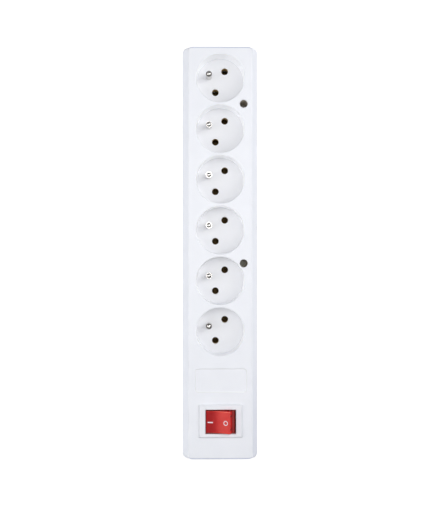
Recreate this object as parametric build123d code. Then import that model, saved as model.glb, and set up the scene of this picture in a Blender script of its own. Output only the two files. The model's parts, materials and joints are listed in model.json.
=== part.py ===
from build123d import *
import os
from math import cos, radians, sin, tan

# Six-way power strip with a lighted two-pole rocker switch, in millimetres.
# X runs across the strip, +Y runs from the switch to the far end, +Z points out of the sockets.
# The origin is the centre of the underside, so the strip stands on z = 0.

# ---- Enclosure ----
HEIGHT = 40.0
PARTING_Z = 20.0
FACE_WIDTH, FACE_LENGTH, FACE_CORNER = 51.6, 332.9, 3.4
PARTING_WIDTH, PARTING_LENGTH, PARTING_CORNER = 61.9, 342.0, 4.5
BASE_WIDTH, BASE_LENGTH, BASE_CORNER = 60.4, 340.4, 3.8
WALL = 2.4
FACE_EDGE_RADIUS = 1.35
BASE_EDGE_RADIUS = 1.0
GROOVE_DEPTH, GROOVE_HEIGHT = 0.4, 0.5
LIP_HEIGHT, LIP_THICKNESS, LIP_GAP = 1.4, 1.1, 0.1
TRAY_FLOOR = 2.5
FOOT_PANEL_WIDTH, FOOT_PANEL_LENGTH, FOOT_PANEL_CORNER, FOOT_PANEL_DEPTH = 44.0, 26.0, 2.0, 0.4

# ---- Sockets, pin-earth pattern ----
SOCKET_COUNT = 6
SOCKET_PITCH = 41.0
FIRST_SOCKET_Y = 141.35
WELL_RADIUS, WELL_DEPTH, WELL_WALL = 19.5, 15.0, 1.5
WELL_RIM_RADIUS, WELL_FOOT_RADIUS = 0.45, 0.5
FLOOR_THICKNESS = 2.5
LIVE_SPACING, LIVE_ANGLE = 19.0, 66.0
LIVE_HOLE_RADIUS, LIVE_TUBE_RADIUS, LIVE_TUBE_LENGTH = 2.8, 4.0, 7.0
EARTH_RADIUS_FROM_CENTRE, EARTH_ANGLE = 10.0, 156.0
EARTH_PIN_RADIUS, EARTH_PIN_TOP = 2.4, 39.0
EARTH_STEM_RADIUS, EARTH_RIVET_RADIUS = 2.0, 1.6
EARTH_RIVET_HEAD_RADIUS, EARTH_RIVET_HEAD_HEIGHT = 2.5, 0.8

# ---- Holes that take wall screws, from the face right through ----
MOUNT_X = 19.0
MOUNT_YS = (120.5, -8.5)
MOUNT_ACCESS_RADIUS, MOUNT_BORE_RADIUS, MOUNT_FOOT_BORE_RADIUS = 3.25, 1.9, 3.25
MOUNT_LEDGE_Z, MOUNT_LEDGE_THICKNESS, MOUNT_TUBE_RADIUS = 17.0, 2.0, 4.6

# ---- Screws that hold the two halves together ----
SCREW_SITES = [(side * x, y) for x, y in ((22.0, 157.5), (23.0, 79.85), (23.0, -43.15), (22.0, -157.0))
               for side in (-1, 1)]
SCREW_RADIUS, SCREW_HEAD_RADIUS, SCREW_HEAD_HEIGHT = 1.5, 3.0, 2.2
SCREW_SEAT_Z, SCREW_TIP_Z, SCREW_TIP_BEVEL, SCREW_HEAD_ROUND = 4.0, 24.0, 0.9, 0.8
SCREW_SLOT_LENGTH, SCREW_SLOT_WIDTH = 3.4, 0.8
SCREW_SHANK_GAP, SCREW_HEAD_GAP = 0.2, 0.3
BOSS_RADIUS, BOSS_FOOT_Z, TRAY_BOSS_RADIUS = 3.5, 8.0, 4.5

# ---- Blank label panel ----
LABEL_X, LABEL_Y = 0.6, -103.1
LABEL_WIDTH, LABEL_LENGTH, LABEL_CORNER = 42.0, 19.4, 2.8
LABEL_DEPTH, LABEL_SLOPE = 0.8, 0.7

# ---- Rocker switch ----
SWITCH_X, SWITCH_Y = 0.3, -135.9
BEZEL_WIDTH, BEZEL_LENGTH, BEZEL_HEIGHT, BEZEL_SLOPE = 35.7, 27.2, 2.0, 1.1
BEZEL_OFFSET_Y, BEZEL_CORNER, BEZEL_EDGE_RADIUS, BEZEL_RIM_BEVEL = 0.25, 1.4, 0.4, 0.3
OPENING_WIDTH, OPENING_LENGTH = 24.5, 19.3
BODY_WIDTH, BODY_LENGTH, BODY_FLOOR_Z, BODY_FLOOR = 29.6, 22.6, 17.0, 1.5
CUTOUT_GAP = 0.2
LATCH_WIDTH, LATCH_HEIGHT, LATCH_REACH, LATCH_RAMP, LATCH_ROOT = 7.0, 4.9, 1.2, 4.5, 0.5
LATCH_TOP_GAP = 0.1
PIVOT_Z = 36.9
ROCKER_TILT = 16.0
ROCKER_WIDTH = 17.8
ROCKER_EDGE_X, ROCKER_EDGE_Z, ROCKER_DISH = 10.1, 7.9, 1.3
ROCKER_KNEE_X, ROCKER_KNEE_Z = 10.3, 1.6
ROCKER_WALL, ROCKER_LIP_RADIUS = 1.5, 0.5
DIMPLE_Y, DIMPLE_RADIUS, DIMPLE_DEPTH = 5.3, 0.6, 1.1
SKIRT_RADIUS, SKIRT_RISE = 11.85, 6.5
TRUNNION_RADIUS, TRUNNION_LENGTH, TRUNNION_ROOT, TRUNNION_GAP = 1.5, 2.2, 1.0, 0.05
POLE_OFFSET = 4.5
PLUNGER_RADIUS, PLUNGER_BORE_GAP, PLUNGER_TIP = 1.5, 0.1, 13.4
PLUNGER_BOSS_RADIUS, PLUNGER_BOSS_FOOT, PLUNGER_BORE_TOP, PLUNGER_TOP = 2.6, -9.4, 3.0, -6.9
PLUNGER_NOSE_RADIUS = 1.2
SPRING_WALL, SPRING_GAP = 0.5, 0.1
BLADE_Z, BLADE_TILT = 22.5, 8.0
BLADE_LENGTH, BLADE_WIDTH, BLADE_THICKNESS = 17.0, 4.0, 0.6
BUTTON_RADIUS, BUTTON_HEIGHT, BUTTON_X = 1.2, 0.8, 7.6
TERMINAL_X, TERMINAL_THICKNESS, TERMINAL_BOTTOM, TERMINAL_SLOT_GAP = 8.0, 0.8, 9.0, 0.1
KNIFE_EDGE_GAP = 0.35
FIXED_CONTACT_WIDTH, FIXED_CONTACT_THICKNESS, FIXED_CONTACT_Z = 3.6, 0.7, 19.9
LAMP_Z, LAMP_RADIUS, LAMP_LENGTH, LAMP_END_RADIUS = 37.2, 1.6, 8.4, 1.0
LEAD_RADIUS, LEAD_X, LEAD_OVERLAP = 0.3, 5.4, 0.3
RESISTOR_LOW, RESISTOR_HIGH, RESISTOR_RADIUS = 21.5, 27.5, 1.0

# ---- Conductors ----
STRIP_THICKNESS, STRIP_WIDTH, STRIP_Z = 0.8, 8.0, 3.6
STRIP_INNER_X = 1.4
STRIP_TAIL_Y, STRIP_HEAD_MARGIN = -93.0, 1.5
TAIL_TAB_WIDTH, TAIL_TAB_RISE = 4.4, 2.4
CLIP_THICKNESS, CLIP_LENGTH = 0.6, 6.0
CLIP_TOP, CLIP_PINCH_Z = 17.4, 13.2
CLIP_FOOT_HALF, CLIP_PINCH_HALF, CLIP_MOUTH_HALF = 2.6, 2.3, 3.1
CLIP_RIVET_RADIUS, RIVET_FOOT_RADIUS, RIVET_HEAD_RADIUS = 1.2, 1.9, 1.7
RIVET_FOOT_HEIGHT, RIVET_HEAD_HEIGHT, RIVET_GAP = 0.6, 0.5, 0.05
EARTH_STRIP_X, EARTH_STRIP_WIDTH, EARTH_STRIP_THICKNESS = -13.35, 5.5, 1.0
EARTH_STRIP_TAIL_Y, EARTH_STRIP_HEAD_MARGIN, EARTH_EYE_RADIUS = -101.0, 3.5, 3.3
EARTH_SCREW_INSET, EARTH_SCREW_HOLE_RADIUS, EARTH_SCREW_RADIUS = 5.0, 2.0, 1.95
EARTH_SCREW_HEAD_RADIUS, EARTH_SCREW_HEAD_HEIGHT, EARTH_SCREW_LENGTH, EARTH_SCREW_SLOT = 3.4, 2.4, 5.0, 1.0
WIRE_RADIUS = 1.4
WIRE_END_Z, WIRE_RUN_IN = 6.0, 10.5
RECEPTACLE_Z, RECEPTACLE_WIDTH, RECEPTACLE_LENGTH, RECEPTACLE_HEIGHT = 11.0, 1.9, 5.4, 6.8
RECEPTACLE_RISE, BARREL_RADIUS, BARREL_LENGTH = 1.6, 1.6, 5.6
NEAR_POLE_EXIT, FAR_POLE_EXIT = 90.0, 50.0
LEAD_OUT = 8.3
NEUTRAL_ROUTE = [(15.5, -117.0, 14.8), (3.0, -110.5, 14.5)]
BARRIER_THICKNESS, BARRIER_TOP, BARRIER_MARGIN = 0.8, 12.0, 10.0
RIB_LENGTH, RIB_EAR_THICKNESS, RIB_EAR_HEIGHT, RIB_EAR_GAP, FIRST_RIB_SHIFT = 4.0, 1.2, 2.4, 0.1, 4.0

# ---- Cord inlet and clamp ----
INLET_Z, INLET_BORE_RADIUS, GROMMET_RADIUS, GROMMET_FLANGE_RADIUS = 10.5, 4.5, 6.0, 7.4
GROMMET_REACH, GROMMET_FLANGE = 6.0, 2.0
CLAMP_Y, CLAMP_POST_X, CLAMP_DEPTH = -158.0, 8.2, 6.0
CLAMP_POST_RADIUS, CLAMP_POST_BORE, CLAMP_POST_BORE_FOOT = 3.0, 1.25, 6.0
CLAMP_BAR_LOW, CLAMP_BAR_HIGH, CLAMP_BAR_END, CLAMP_ARCH_RADIUS = 14.6, 17.2, 3.2, 4.6
CLAMP_HOLE_RADIUS, CLAMP_SCREW_RADIUS, CLAMP_SCREW_TIP = 1.7, 1.2, 8.0
CLAMP_HEAD_RADIUS, CLAMP_HEAD_HEIGHT, CLAMP_SLOT_WIDTH = 2.6, 2.0, 0.8
SADDLE_WIDTH, SADDLE_LENGTH, SADDLE_TOP = 9.0, 3.0, 6.0

# ---- Levels and places worked out from the above ----
WELL_FLOOR_Z = HEIGHT - WELL_DEPTH
WELL_UNDERSIDE_Z = WELL_FLOOR_Z - FLOOR_THICKNESS
MOUNT_FOOT_Z = MOUNT_LEDGE_Z - MOUNT_LEDGE_THICKNESS
INNER_WIDTH = PARTING_WIDTH - 2 * WALL
INNER_LENGTH = PARTING_LENGTH - 2 * WALL
SOCKET_YS = [FIRST_SOCKET_Y - i * SOCKET_PITCH for i in range(SOCKET_COUNT)]
LIVE_DX = LIVE_SPACING / 2 * cos(radians(LIVE_ANGLE))
LIVE_DY = LIVE_SPACING / 2 * sin(radians(LIVE_ANGLE))
EARTH_DX = EARTH_RADIUS_FROM_CENTRE * cos(radians(EARTH_ANGLE))
EARTH_DY = EARTH_RADIUS_FROM_CENTRE * sin(radians(EARTH_ANGLE))
EARTH_SCREW_Y = EARTH_STRIP_TAIL_Y + EARTH_SCREW_INSET
STRIP_MIDDLE_X = STRIP_INNER_X + STRIP_WIDTH / 2
SWITCH_FLOOR_TOP = BODY_FLOOR_Z + BODY_FLOOR

# Every cut runs past the surface it opens by RUNOUT; joined pieces share ROOT; FIT is a close fit's gap.
RUNOUT = 1.0
ROOT = 0.5
FIT = 0.05


def rod(radius, low, high, x=0.0, y=0.0):
    """Upright cylinder between two levels."""
    return Pos(x, y, low) * Cylinder(radius, high - low, align=(Align.CENTER, Align.CENTER, Align.MIN))


def rod_y(radius, start, end, x, z):
    """Cylinder along +Y between two stations."""
    return Pos(x, (start + end) / 2, z) * Rot(90, 0, 0) * Cylinder(radius, end - start)


def slab(x, y, low, high):
    """Box given by its X range, its Y range and its two levels."""
    centre = Pos((x[0] + x[1]) / 2, (y[0] + y[1]) / 2, (low + high) / 2)
    return centre * Box(x[1] - x[0], y[1] - y[0], high - low)


def rounded(width, length, corner, low, high):
    """Upright prism on a rounded rectangle."""
    return Pos(0, 0, low) * extrude(RectangleRounded(width, length, corner), high - low)


def hull_block(inset, low, high):
    """Part of the flared upper shell's outside between two levels, moved in by inset."""
    def level(z):
        share = (z - PARTING_Z) / (HEIGHT - PARTING_Z)
        width = PARTING_WIDTH + share * (FACE_WIDTH - PARTING_WIDTH) - 2 * inset
        length = PARTING_LENGTH + share * (FACE_LENGTH - PARTING_LENGTH) - 2 * inset
        corner = PARTING_CORNER + share * (FACE_CORNER - PARTING_CORNER) - inset
        return Pos(0, 0, z) * RectangleRounded(width, length, corner)
    return loft([level(low), level(high)], ruled=True)


def group(solids):
    """Separate identical pieces kept together as one node."""
    return Compound(children=list(solids))


def live_sites(sign):
    """Centres of one pole's holes: sign +1 is the line side, -1 the neutral side."""
    return [(sign * LIVE_DX, y + sign * LIVE_DY) for y in SOCKET_YS]


def earth_sites():
    return [(EARTH_DX, y + EARTH_DY) for y in SOCKET_YS]


# ---- Enclosure ----
def well_cut():
    """Turned hollow of one socket, with a soft rim and a soft foot."""
    profile = Pos(0, WELL_FLOOR_Z) * Polygon(
        (0, 0), (WELL_RADIUS, 0), (WELL_RADIUS, WELL_DEPTH + RUNOUT), (0, WELL_DEPTH + RUNOUT),
        align=None)
    foot = profile.vertices().sort_by(Axis.Y)[0:2].sort_by(Axis.X)[-1]
    profile = fillet(foot, WELL_FOOT_RADIUS)
    flare = Pos(0, HEIGHT) * Polygon(
        (0, -WELL_RIM_RADIUS), (WELL_RADIUS, -WELL_RIM_RADIUS), (WELL_RADIUS + WELL_RIM_RADIUS, 0),
        (WELL_RADIUS + WELL_RIM_RADIUS, RUNOUT), (0, RUNOUT), align=None)
    return revolve(Plane.XZ * (profile + flare), Axis.Z)


def label_cut():
    """Shallow recess with sloped sides, carried on past the face."""
    def outline(inset, z):
        return Pos(0, 0, z) * RectangleRounded(LABEL_WIDTH - 2 * inset, LABEL_LENGTH - 2 * inset,
                                               LABEL_CORNER - inset)
    steepness = LABEL_SLOPE / LABEL_DEPTH
    return loft([outline(LABEL_SLOPE, -LABEL_DEPTH), outline(-steepness * RUNOUT, RUNOUT)], ruled=True)


def top_cover():
    outside = hull_block(0, PARTING_Z, HEIGHT)
    face = outside.faces().sort_by(Axis.Z)[-1]
    outside = fillet(face.edges(), FACE_EDGE_RADIUS)
    groove_top = PARTING_Z + GROOVE_HEIGHT
    surround = rounded(2 * PARTING_WIDTH, 2 * PARTING_LENGTH, PARTING_CORNER, PARTING_Z, groove_top)
    outside -= surround - hull_block(GROOVE_DEPTH, PARTING_Z, groove_top)
    cover = outside - hull_block(WALL, PARTING_Z, HEIGHT - WALL)
    rebate = LIP_THICKNESS + LIP_GAP
    cover -= rounded(INNER_WIDTH + 2 * rebate, INNER_LENGTH + 2 * rebate, PARTING_CORNER - WALL + rebate,
                     PARTING_Z - RUNOUT, PARTING_Z + LIP_HEIGHT + LIP_GAP)

    inner_limit = hull_block(WALL / 2, PARTING_Z, HEIGHT - WALL / 2)
    for y in SOCKET_YS:
        cover += rod(WELL_RADIUS + WELL_WALL, WELL_UNDERSIDE_Z, HEIGHT - WALL / 2, 0, y)
    for x, y in live_sites(1) + live_sites(-1):
        cover += rod(LIVE_TUBE_RADIUS, WELL_FLOOR_Z - LIVE_TUBE_LENGTH, WELL_FLOOR_Z, x, y)
    for x, y in SCREW_SITES:
        cover += rod(BOSS_RADIUS, PARTING_Z + LIP_HEIGHT, HEIGHT - WALL / 2, x, y) & inner_limit
        cover += rod(BOSS_RADIUS, BOSS_FOOT_Z, PARTING_Z + LIP_HEIGHT + LIP_GAP, x, y)
    for y in MOUNT_YS:
        cover += rod(MOUNT_TUBE_RADIUS, MOUNT_FOOT_Z, HEIGHT - WALL / 2, MOUNT_X, y)

    for y in SOCKET_YS:
        cover -= Pos(0, y, 0) * well_cut()
    for x, y in live_sites(1) + live_sites(-1):
        cover -= rod(LIVE_HOLE_RADIUS, 0, HEIGHT, x, y)
    for x, y in earth_sites():
        cover -= rod(EARTH_STEM_RADIUS + FIT, 0, HEIGHT, x, y)
    for y in MOUNT_YS:
        cover -= rod(MOUNT_ACCESS_RADIUS, MOUNT_LEDGE_Z, HEIGHT + RUNOUT, MOUNT_X, y)
        cover -= rod(MOUNT_BORE_RADIUS, 0, HEIGHT, MOUNT_X, y)
    for x, y in SCREW_SITES:
        cover -= rod(SCREW_RADIUS + FIT, 0, SCREW_TIP_Z + RUNOUT, x, y)
    cover -= Pos(LABEL_X, LABEL_Y, HEIGHT) * label_cut()
    cutout = Box(BODY_WIDTH + 2 * CUTOUT_GAP, BODY_LENGTH + 2 * CUTOUT_GAP, 4 * WALL)
    return cover - Pos(SWITCH_X, SWITCH_Y, HEIGHT) * cutout


def base_tray():
    foot = RectangleRounded(BASE_WIDTH, BASE_LENGTH, BASE_CORNER)
    parting = Pos(0, 0, PARTING_Z) * RectangleRounded(PARTING_WIDTH, PARTING_LENGTH, PARTING_CORNER)
    outside = loft([foot, parting], ruled=True)
    outside = fillet(outside.faces().sort_by(Axis.Z)[0].edges(), BASE_EDGE_RADIUS)
    lip_corner = PARTING_CORNER - WALL + LIP_THICKNESS
    tray = outside + rounded(INNER_WIDTH + 2 * LIP_THICKNESS, INNER_LENGTH + 2 * LIP_THICKNESS,
                             lip_corner, PARTING_Z - RUNOUT, PARTING_Z + LIP_HEIGHT)
    tray -= rounded(INNER_WIDTH, INNER_LENGTH, PARTING_CORNER - WALL, TRAY_FLOOR, HEIGHT)

    rooted = TRAY_FLOOR - ROOT
    # Upright barrier between the two current-carrying strips, and cross ribs that carry the strips.
    tray += slab((-BARRIER_THICKNESS / 2, BARRIER_THICKNESS / 2),
                 (STRIP_TAIL_Y + BARRIER_MARGIN, FIRST_SOCKET_Y + BARRIER_MARGIN), rooted, BARRIER_TOP)
    ear_x = STRIP_INNER_X + STRIP_WIDTH + RIB_EAR_GAP
    first_rib = SOCKET_YS[0] + SOCKET_PITCH / 2 - FIRST_RIB_SHIFT
    for middle in [first_rib] + [y - SOCKET_PITCH / 2 for y in SOCKET_YS]:
        run = (middle - RIB_LENGTH / 2, middle + RIB_LENGTH / 2)
        tray += slab((-ear_x - RIB_EAR_THICKNESS, ear_x + RIB_EAR_THICKNESS), run, rooted, STRIP_Z)
        for side in (-1, 1):
            ear = sorted((side * ear_x, side * (ear_x + RIB_EAR_THICKNESS)))
            tray += slab(ear, run, rooted, STRIP_Z + RIB_EAR_HEIGHT)

    # Two posts and a saddle under the cord clamp.
    for side in (-1, 1):
        tray += rod(CLAMP_POST_RADIUS, rooted, CLAMP_BAR_LOW, side * CLAMP_POST_X, CLAMP_Y)
    tray += slab((-SADDLE_WIDTH / 2, SADDLE_WIDTH / 2),
                 (CLAMP_Y - SADDLE_LENGTH / 2, CLAMP_Y + SADDLE_LENGTH / 2), rooted, SADDLE_TOP)

    for x, y in SCREW_SITES:
        tray += rod(TRAY_BOSS_RADIUS, rooted, BOSS_FOOT_Z, x, y)
    for y in MOUNT_YS:
        tray += rod(MOUNT_TUBE_RADIUS, rooted, MOUNT_FOOT_Z, MOUNT_X, y)

    for x, y in SCREW_SITES:
        tray -= rod(SCREW_RADIUS + SCREW_SHANK_GAP, -RUNOUT, HEIGHT, x, y)
        tray -= rod(SCREW_HEAD_RADIUS + SCREW_HEAD_GAP, -RUNOUT, SCREW_SEAT_Z, x, y)
    for y in MOUNT_YS:
        tray -= rod(MOUNT_FOOT_BORE_RADIUS, -RUNOUT, HEIGHT, MOUNT_X, y)
    for side in (-1, 1):
        tray -= rod(CLAMP_POST_BORE, CLAMP_POST_BORE_FOOT, HEIGHT, side * CLAMP_POST_X, CLAMP_Y)
    wall_out, wall_in = -PARTING_LENGTH / 2 - RUNOUT, -INNER_LENGTH / 2 + RUNOUT
    tray -= rod_y(GROMMET_RADIUS + FIT, wall_out, wall_in, 0, INLET_Z)
    return tray - rounded(FOOT_PANEL_WIDTH, FOOT_PANEL_LENGTH, FOOT_PANEL_CORNER, -RUNOUT, FOOT_PANEL_DEPTH)


def housing_screws():
    """Pan-head screws driven from the underside into the cover's bosses."""
    def screw(x, y):
        head = rod(SCREW_HEAD_RADIUS, SCREW_SEAT_Z - SCREW_HEAD_HEIGHT, SCREW_SEAT_Z, x, y)
        head = fillet(head.edges().sort_by(Axis.Z)[0], SCREW_HEAD_ROUND)
        depth = SCREW_HEAD_HEIGHT
        cross = Box(SCREW_SLOT_LENGTH, SCREW_SLOT_WIDTH, depth)
        cross += Box(SCREW_SLOT_WIDTH, SCREW_SLOT_LENGTH, depth)
        tip = rod(SCREW_RADIUS, SCREW_SEAT_Z - ROOT, SCREW_TIP_Z, x, y)
        tip = chamfer(tip.edges().sort_by(Axis.Z)[-1], SCREW_TIP_BEVEL)
        return head + tip - Pos(x, y, SCREW_SEAT_Z - SCREW_HEAD_HEIGHT) * cross
    return group(screw(x, y) for x, y in SCREW_SITES)


# ---- Contacts ----
def busbar(sign):
    """Brass strip under one pole's contacts, with an upturned tail that takes the lead."""
    sites = live_sites(sign)
    span = sorted((sign * STRIP_INNER_X, sign * (STRIP_INNER_X + STRIP_WIDTH)))
    head = sites[0][1] + CLIP_LENGTH / 2 + STRIP_HEAD_MARGIN
    strip = slab(span, (STRIP_TAIL_Y, head), STRIP_Z, STRIP_Z + STRIP_THICKNESS)
    tab = (sign * STRIP_MIDDLE_X - TAIL_TAB_WIDTH / 2, sign * STRIP_MIDDLE_X + TAIL_TAB_WIDTH / 2)
    strip += slab(tab, (STRIP_TAIL_Y, STRIP_TAIL_Y + STRIP_THICKNESS), STRIP_Z, WIRE_END_Z + TAIL_TAB_RISE)
    for x, y in sites:
        strip -= rod(CLIP_RIVET_RADIUS + RIVET_GAP, 0, HEIGHT, x, y)
    return strip


def contact_clips(sign):
    """Six sprung clips of one pole, each pinching a plug pin between two leaves."""
    base = STRIP_Z + STRIP_THICKNESS + CLIP_THICKNESS / 2
    leaf = [(CLIP_FOOT_HALF, base), (CLIP_PINCH_HALF, CLIP_PINCH_Z), (CLIP_MOUTH_HALF, CLIP_TOP)]
    path = [(-x, z) for x, z in reversed(leaf)] + leaf
    section = Plane.XZ * trace(Polyline(*path), CLIP_THICKNESS)
    clip = extrude(section, CLIP_LENGTH / 2, both=True)
    clip -= rod(CLIP_RIVET_RADIUS + RIVET_GAP, 0, base + RUNOUT)
    return group(Pos(x, y, 0) * clip for x, y in live_sites(sign))


def contact_rivets():
    low, high = STRIP_Z, STRIP_Z + STRIP_THICKNESS + CLIP_THICKNESS
    rivet = rod(CLIP_RIVET_RADIUS, low, high)
    rivet += rod(RIVET_FOOT_RADIUS, low - RIVET_FOOT_HEIGHT, low)
    rivet += rod(RIVET_HEAD_RADIUS, high, high + RIVET_HEAD_HEIGHT)
    return group(Pos(x, y, 0) * rivet for x, y in live_sites(1) + live_sites(-1))


def earth_busbar():
    """Strip under the well floors, with a tab out to each earth pin and a screw hole at the tail."""
    top = WELL_UNDERSIDE_Z
    low = top - EARTH_STRIP_THICKNESS
    span = (EARTH_STRIP_X - EARTH_STRIP_WIDTH / 2, EARTH_STRIP_X + EARTH_STRIP_WIDTH / 2)
    sites = earth_sites()
    strip = slab(span, (EARTH_STRIP_TAIL_Y, sites[0][1] + EARTH_STRIP_HEAD_MARGIN), low, top)
    for x, y in sites:
        strip += slab((span[1], x), (y - EARTH_EYE_RADIUS, y + EARTH_EYE_RADIUS), low, top)
        strip += rod(EARTH_EYE_RADIUS, low, top, x, y)
        strip -= rod(EARTH_RIVET_RADIUS + RIVET_GAP, 0, HEIGHT, x, y)
    return strip - rod(EARTH_SCREW_HOLE_RADIUS, 0, HEIGHT, EARTH_STRIP_X, EARTH_SCREW_Y)


def earth_pin(x, y):
    """Round earth pin with a domed tip, stepped down through the well floor and riveted below."""
    shoulder = EARTH_PIN_TOP - EARTH_PIN_RADIUS
    pin = rod(EARTH_PIN_RADIUS, WELL_FLOOR_Z, shoulder, x, y)
    pin += Pos(x, y, shoulder) * Sphere(EARTH_PIN_RADIUS, arc_size1=0)
    pin += rod(EARTH_STEM_RADIUS, WELL_UNDERSIDE_Z, WELL_FLOOR_Z, x, y)
    low = WELL_UNDERSIDE_Z - EARTH_STRIP_THICKNESS
    pin += rod(EARTH_RIVET_RADIUS, low, WELL_UNDERSIDE_Z, x, y)
    return pin + rod(EARTH_RIVET_HEAD_RADIUS, low - EARTH_RIVET_HEAD_HEIGHT, low, x, y)


def earth_terminal_screw():
    """Screw at the tail of the earth strip that takes the cord's earth wire."""
    seat = WELL_UNDERSIDE_Z
    head_top = seat + EARTH_SCREW_HEAD_HEIGHT
    head = rod(EARTH_SCREW_HEAD_RADIUS, seat, head_top, EARTH_STRIP_X, EARTH_SCREW_Y)
    slot = Pos(EARTH_STRIP_X, EARTH_SCREW_Y, head_top) * Box(
        2 * EARTH_SCREW_HEAD_RADIUS + RUNOUT, EARTH_SCREW_SLOT, EARTH_SCREW_HEAD_HEIGHT)
    shank = rod(EARTH_SCREW_RADIUS, seat - EARTH_SCREW_LENGTH, seat + ROOT, EARTH_STRIP_X, EARTH_SCREW_Y)
    return head - slot + shank


# ---- Switch ----
def at_switch(shape):
    return Pos(SWITCH_X, SWITCH_Y, 0) * shape


def pole_ys():
    """Offsets of the two poles from the middle of the switch: line first."""
    return (POLE_OFFSET, -POLE_OFFSET)


def switch_housing():
    """White bezel with sloped sides and the snap-in body under it."""
    def outline(inset, z):
        return Pos(0, BEZEL_OFFSET_Y, z) * RectangleRounded(
            BEZEL_WIDTH - 2 * inset, BEZEL_LENGTH - 2 * inset, BEZEL_CORNER - inset / 2)
    bezel = loft([outline(0, HEIGHT), outline(BEZEL_SLOPE, HEIGHT + BEZEL_HEIGHT)], ruled=True)
    bezel = fillet(bezel.faces().sort_by(Axis.Z)[-1].edges(), BEZEL_EDGE_RADIUS)
    half_x, half_y = BODY_WIDTH / 2, BODY_LENGTH / 2
    housing = bezel + slab((-half_x, half_x), (-half_y, half_y), BODY_FLOOR_Z, HEIGHT)
    for side in (-1, 1):
        latch_x = sorted((side * (half_x - LATCH_ROOT), side * (half_x + LATCH_REACH)))
        latch_top = HEIGHT - WALL - LATCH_TOP_GAP
        latch = slab(latch_x, (-LATCH_WIDTH / 2, LATCH_WIDTH / 2), latch_top - LATCH_HEIGHT, latch_top)
        outer = -1 if side > 0 else 0
        edge = latch.edges().filter_by(Axis.Y).group_by(Axis.Z)[0].sort_by(Axis.X)[outer]
        housing += chamfer(edge, length=LATCH_RAMP, length2=LATCH_REACH - LATCH_TOP_GAP,
                           reference=latch.faces().sort_by(Axis.X)[outer])
    half_x, half_y = OPENING_WIDTH / 2, OPENING_LENGTH / 2
    top = HEIGHT + BEZEL_HEIGHT
    housing -= slab((-half_x, half_x), (-half_y, half_y), SWITCH_FLOOR_TOP, top + RUNOUT)
    rim = [e for e in housing.edges().filter_by(GeomType.LINE)
           if abs(e.center().Z - top) < FIT and abs(e.center().X) < half_x + FIT
           and abs(e.center().Y) < half_y + FIT]
    housing = chamfer(rim, BEZEL_RIM_BEVEL)
    housing -= rod_y(TRUNNION_RADIUS + TRUNNION_GAP, -BODY_LENGTH, BODY_LENGTH, 0, PIVOT_Z)
    slot = Box(TERMINAL_THICKNESS + TERMINAL_SLOT_GAP, BLADE_WIDTH + TERMINAL_SLOT_GAP, 4 * BODY_FLOOR)
    for y in pole_ys():
        for x in (0, TERMINAL_X):
            housing -= Pos(x, y, BODY_FLOOR_Z) * slot
    return at_switch(housing)


def rocker():
    """Translucent cap: dished top, ends that drop away, and a skirt turned about the pivot."""
    tilt, rise = radians(ROCKER_TILT), radians(SKIRT_RISE)
    low_x, low_z = SKIRT_RADIUS * cos(tilt), SKIRT_RADIUS * sin(tilt)
    high_x, high_z = SKIRT_RADIUS * cos(rise), SKIRT_RADIUS * sin(rise)
    dish = ThreePointArc((-ROCKER_EDGE_X, ROCKER_EDGE_Z), (0, ROCKER_EDGE_Z - ROCKER_DISH),
                         (ROCKER_EDGE_X, ROCKER_EDGE_Z))
    outline = [
        dish,
        Polyline((ROCKER_EDGE_X, ROCKER_EDGE_Z), (ROCKER_KNEE_X, ROCKER_KNEE_Z), (high_x, high_z)),
        ThreePointArc((high_x, high_z), (SKIRT_RADIUS, 0), (low_x, -low_z)),
        Line((low_x, -low_z), (-low_x, -low_z)),
        ThreePointArc((-low_x, -low_z), (-SKIRT_RADIUS, 0), (-high_x, high_z)),
        Polyline((-high_x, high_z), (-ROCKER_KNEE_X, ROCKER_KNEE_Z), (-ROCKER_EDGE_X, ROCKER_EDGE_Z)),
    ]
    cap = extrude(Plane.XZ * make_face(outline), ROCKER_WIDTH / 2, both=True)
    cap = fillet(cap.faces().sort_by(Axis.Z)[-1].edges(), ROCKER_LIP_RADIUS)
    hollow_x = ROCKER_EDGE_X - ROCKER_WALL
    hollow_y = ROCKER_WIDTH / 2 - ROCKER_WALL
    hollow_top = ROCKER_EDGE_Z - ROCKER_DISH - ROCKER_WALL
    cap -= slab((-hollow_x, hollow_x), (-hollow_y, hollow_y), -low_z - RUNOUT, hollow_top)
    for y in pole_ys():
        cap += rod(PLUNGER_BOSS_RADIUS, PLUNGER_BOSS_FOOT, hollow_top + ROOT, 0, y)
        cap -= rod(PLUNGER_RADIUS + PLUNGER_BORE_GAP, PLUNGER_BOSS_FOOT - RUNOUT, PLUNGER_BORE_TOP, 0, y)
    for side in (-1, 1):
        wall = side * ROCKER_WIDTH / 2
        start, end = sorted((wall - side * TRUNNION_ROOT, wall + side * TRUNNION_LENGTH))
        cap += rod_y(TRUNNION_RADIUS, start, end, 0, 0)
    # A pair of small round dimples on each end face.
    for side in (-1, 1):
        for y in (-DIMPLE_Y, DIMPLE_Y):
            mouth = Pos(side * ROCKER_KNEE_X, y, (ROCKER_EDGE_Z + ROCKER_KNEE_Z) / 2)
            cap -= mouth * Rot(0, 90, 0) * Cylinder(DIMPLE_RADIUS, 2 * DIMPLE_DEPTH)
    return cap


def rocker_pose(shape):
    """The stored pose: the far half of the cap is up and the near half is level with the bezel."""
    return at_switch(Pos(0, 0, PIVOT_Z) * Rot(0, -ROCKER_TILT, 0) * shape)


def plungers():
    solids = []
    for y in pole_ys():
        pin = rod(PLUNGER_RADIUS, -PLUNGER_TIP, PLUNGER_TOP, 0, y)
        solids.append(rocker_pose(fillet(pin.edges().sort_by(Axis.Z)[0], PLUNGER_NOSE_RADIUS)))
    return group(solids)


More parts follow.
